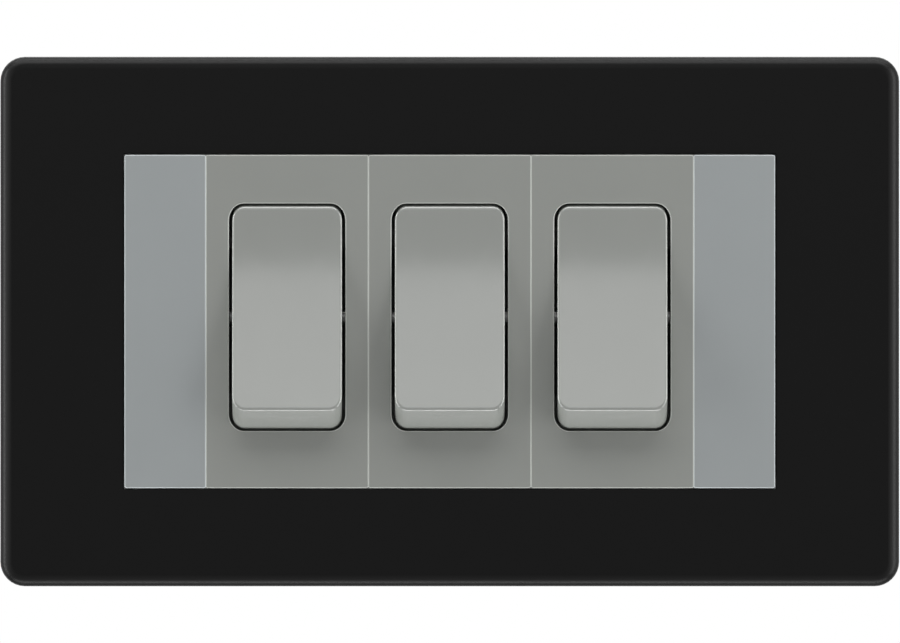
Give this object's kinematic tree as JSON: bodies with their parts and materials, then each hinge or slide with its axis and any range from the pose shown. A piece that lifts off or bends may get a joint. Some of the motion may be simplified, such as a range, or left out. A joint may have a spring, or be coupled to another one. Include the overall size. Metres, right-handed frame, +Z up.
{
  "type": "grid switch plate",
  "caption": "Wide black metal wall plate with rounded edges that holds a row of grey rocker light switches between half-width blanks.",
  "frame": {"origin": "middle of the plate on the wall's surface, between the two fixing screws", "axes": "+X to the right along the plate, +Y into the wall, +Z up"},
  "size_m": [0.146, 0.031, 0.086],
  "materials": {
    "plate_black": "fine matt black powder coat",
    "clip_black": "as moulded",
    "zinc_steel": "zinc plated",
    "screw_steel": "zinc plated",
    "brass": "machined",
    "copper": "rolled copper alloy",
    "contact_silver": "dull silver",
    "spring_steel": "drawn wire",
    "nylon": "natural nylon",
    "housing_grey": "as moulded",
    "blank_grey": "fine satin moulding",
    "bezel_grey": "fine satin moulding",
    "rocker_grey": "fine satin moulding"
  },
  "bodies": {
    "frame": {"bezel_centre": "bezel_grey", "bezel_left": "bezel_grey", "bezel_right": "bezel_grey", "blank_left": "blank_grey", "blank_right": "blank_grey", "clip_frame": "clip_black", "common_terminal_centre": "brass", "common_terminal_left": "brass", "common_terminal_right": "brass", "earth_screw": "screw_steel", "earth_terminal": "brass", "fixed_contact_centre": "contact_silver", "fixed_contact_left": "contact_silver", "fixed_contact_right": "contact_silver", "fixing_screws": "screw_steel", "front_plate": "plate_black", "grid_frame": "zinc_steel", "housing_centre": "housing_grey", "housing_left": "housing_grey", "housing_right": "housing_grey", "line_terminal_centre": "brass", "line_terminal_left": "brass", "line_terminal_right": "brass", "terminal_screws_centre": "screw_steel", "terminal_screws_left": "screw_steel", "terminal_screws_right": "screw_steel"},
    "rocker_body_left": {"rocker_left": "rocker_grey", "spring_left": "spring_steel", "plunger_left": "nylon"},
    "seesaw_body_left": {"moving_contact_left": "copper", "moving_tip_left": "contact_silver"},
    "rocker_body_centre": {"rocker_centre": "rocker_grey", "spring_centre": "spring_steel", "plunger_centre": "nylon"},
    "seesaw_body_centre": {"moving_contact_centre": "copper", "moving_tip_centre": "contact_silver"},
    "rocker_body_right": {"rocker_right": "rocker_grey", "spring_right": "spring_steel", "plunger_right": "nylon"},
    "seesaw_body_right": {"moving_contact_right": "copper", "moving_tip_right": "contact_silver"}
  },
  "joints": [
    {"name": "rocker_turn_left", "type": "hinge", "parent": "frame", "child": "rocker_body_left", "pos_m": [-0.0264, 0.0045, 0.0007], "axis": [1, 0, 0], "range_deg": [0, 14]},
    {"name": "seesaw_tip_left", "type": "hinge", "parent": "frame", "child": "seesaw_body_left", "pos_m": [-0.0264, 0.0172, 0.0007], "axis": [1, 0, 0], "range_deg": [-10, 0]},
    {"name": "rocker_turn_centre", "type": "hinge", "parent": "frame", "child": "rocker_body_centre", "pos_m": [0, 0.0045, 0.0007], "axis": [1, 0, 0], "range_deg": [0, 14]},
    {"name": "seesaw_tip_centre", "type": "hinge", "parent": "frame", "child": "seesaw_body_centre", "pos_m": [0, 0.0172, 0.0007], "axis": [1, 0, 0], "range_deg": [-10, 0]},
    {"name": "rocker_turn_right", "type": "hinge", "parent": "frame", "child": "rocker_body_right", "pos_m": [0.0264, 0.0045, 0.0007], "axis": [1, 0, 0], "range_deg": [0, 14]},
    {"name": "seesaw_tip_right", "type": "hinge", "parent": "frame", "child": "seesaw_body_right", "pos_m": [0.0264, 0.0172, 0.0007], "axis": [1, 0, 0], "range_deg": [-10, 0]}
  ],
  "couplings": [
    {"joint": "seesaw_tip_left", "follows": "rocker_turn_left", "ratio": -0.71429},
    {"joint": "seesaw_tip_centre", "follows": "rocker_turn_centre", "ratio": -0.71429},
    {"joint": "seesaw_tip_right", "follows": "rocker_turn_right", "ratio": -0.71429}
  ]
}
